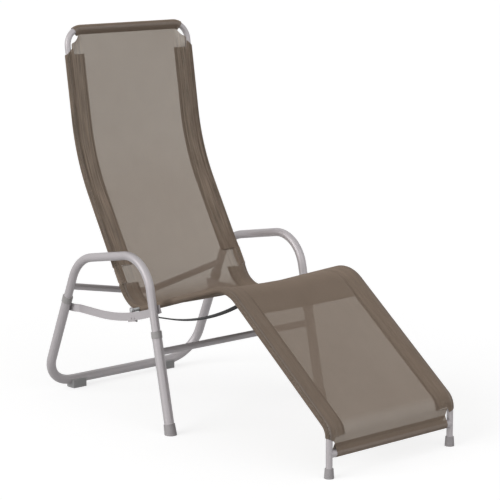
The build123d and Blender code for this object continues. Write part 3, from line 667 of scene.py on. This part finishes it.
def shape_sleeve(vert, distance, side):
    """Moves a sleeve's vertex, at a distance along the side line, as the sewn cloth lies."""
    place = seat_frame_at(distance)
    turned = place.to_3x3()
    lifted = (place.inverted() @ vert.co).z
    inward = seat_half_width - abs(vert.co.x)
    near_foot = max(0, 1 - (distance - side_foot_end) / foot_reach)
    near_hip = max(0, 1 - min(abs(distance - notch) for notch in hip_notch) / hip_reach)
    near_head = max(0, 1 - (side_head_end - distance) / head_reach)
    loose = max(0, min(1, (inward - loose_from) / loose_fade, (flap_width - inward) / loose_fade))
    swell = noise.noise(Vector((inward * swell_rate[0], distance * swell_rate[1], side * 3.0)))
    crease = noise.noise(Vector((inward * crease_rate[0], distance * crease_rate[1], side * 7.0)))
    lift = loose * (swell_height * swell
                    + crease_height * crease * (1 + foot_creasing * near_foot))
    vert.co += turned @ Vector((0, 0, lift if lifted > 0 else -lift))
    if inward < 0:
        vert.co.x += side * hip_bulge * near_hip ** 2 * min(1, -inward / hip_bulge_fade)
    if lifted > tolerance and inward < slant_end:
        round_tube = max(0, min(1, (inward - slant_from) / slant_span))
        slant = round_tube * (head_slant * near_head + foot_slant * near_foot)
        vert.co += turned @ Vector((0, slant, 0))


for side, side_name in ((1, "left"), (-1, "right")):
    for stretch, start, end in (("seat", side_foot_end, hip_notch[0]),
                                ("back", hip_notch[1], side_head_end)):
        sleeve = start_cloth()
        outline = [(side * (seat_half_width - point.x), point.y)
                   for point in sleeve_outline(loop_radius, flap_width, 12, sleeve_slack)]
        carry(sleeve, lay_row(sleeve, outline, start), start, end)
        along = sleeve.verts.layers.float["along"]
        across = sleeve.verts.layers.float["across"]
        for vert in sleeve.verts:
            shape_sleeve(vert, vert[along], side)
        mark_seam(sleeve, "across", 0, max(vert[across] for vert in sleeve.verts))
        piece = finish_cloth(sleeve, f"{side_name}_{stretch}_sleeve_cloth",
                             [f"{side_name}_{stretch}_sleeve"])
        girth = 0.160


# The top hem is the panel's head end, turned round the hoop's top and sewn down as a tight
# loop. It runs a little way into both bends of the hoop.
def start_hem(points):
    """A hem's end row at given points, noted with how far round each is, and its girth."""
    hem = start_cloth()
    along = hem.verts.layers.float["along"]
    row = [hem.verts.new(point) for point in points]
    girth = 0
    for before, vert in zip([row[0]] + row, row):
        girth += (vert.co - before.co).length
        vert[along] = girth
    return hem, row, [hem.edges.new(pair) for pair in zip(row, row[1:])], girth


def finish_hem(hem, girth, name, node_names):
    """Turns a hem's mesh into a piece, with its seam at both ends of its girth."""
    across = hem.verts.layers.float["across"]
    for vert in hem.verts:
        vert[across] = vert.co.x
    mark_seam(hem, "along", 0, girth)
    return finish_cloth(hem, name, node_names)


head_bend = 0.058
head_inset = 0.030
head_drop = 0.020
head_slack = 0.0018
top = seat_frame_at(head_distance)
up = top.to_3x3() @ Vector((0, 1, 0))
out = top.to_3x3() @ Vector((0, 0, 1))
bend_x = seat_half_width - head_bend
bend_turn = asin((head_bend - head_inset) / head_bend)
bend_centre = top.translation - up * head_bend - Vector((bend_x, 0, 0))
hem, row, rim, girth = start_hem([
    Vector((-bend_x, 0, 0)) + top.translation - up * inward + out * lift
    for inward, lift in sleeve_outline(loop_radius, head_drop, 4, head_slack)])
bmesh.ops.rotate(hem, cent=bend_centre, verts=row, matrix=Matrix.Rotation(bend_turn, 3, out))
swept = bmesh.ops.spin(hem, geom=row + rim, cent=bend_centre, axis=out, angle=-bend_turn, steps=4)
rim = [item for item in swept["geom_last"] if isinstance(item, bmesh.types.BMEdge)]
rim, verts = draw_across(hem, rim, 2 * bend_x, steps=24)
bmesh.ops.spin(hem, geom=rim + verts, cent=bend_centre + Vector((2 * bend_x, 0, 0)), axis=out,
               angle=-bend_turn, steps=4)
head_hem = finish_hem(hem, girth, "head_hem_cloth", ["head_sleeve"])

# The foot hem is the panel's foot end, turned round the cross tube between the foot legs and
# sewn down as a looser loop.
cross_height = 0.0715
cross_radius = 0.012
cross_play = 0.0008
foot_rise = 0.0285
hem, row, rim, girth = start_hem([
    Vector((-foot_end_x, foot_place[0] - lift, cross_height + inward))
    for inward, lift in sleeve_outline(cross_radius + cross_play, foot_rise, 4)])
draw_across(hem, rim, 2 * foot_end_x, steps=30)
foot_hem = finish_hem(hem, girth, "foot_hem_cloth", ["foot_sleeve"])

# A second layer of the mesh is sewn under the panel over the knee bend, where the sling
# takes most wear.
knee_band = (0.588, 0.818)
layer_play = 0.0002
band_share = 0.998
under = -cloth_thickness - layer_play
band = start_cloth()
band_row = lay_row(band, [(x * band_share, under) for x in panel_columns], knee_band[0])
carry(band, band_row, *knee_band)
along = band.verts.layers.float["along"]
for vert in band.verts:
    let_sag(vert, vert[along], 1)
mark_seam(band, "along", *knee_band)
knee_cloth = finish_cloth(band, "knee_band_cloth", ["knee_band"])
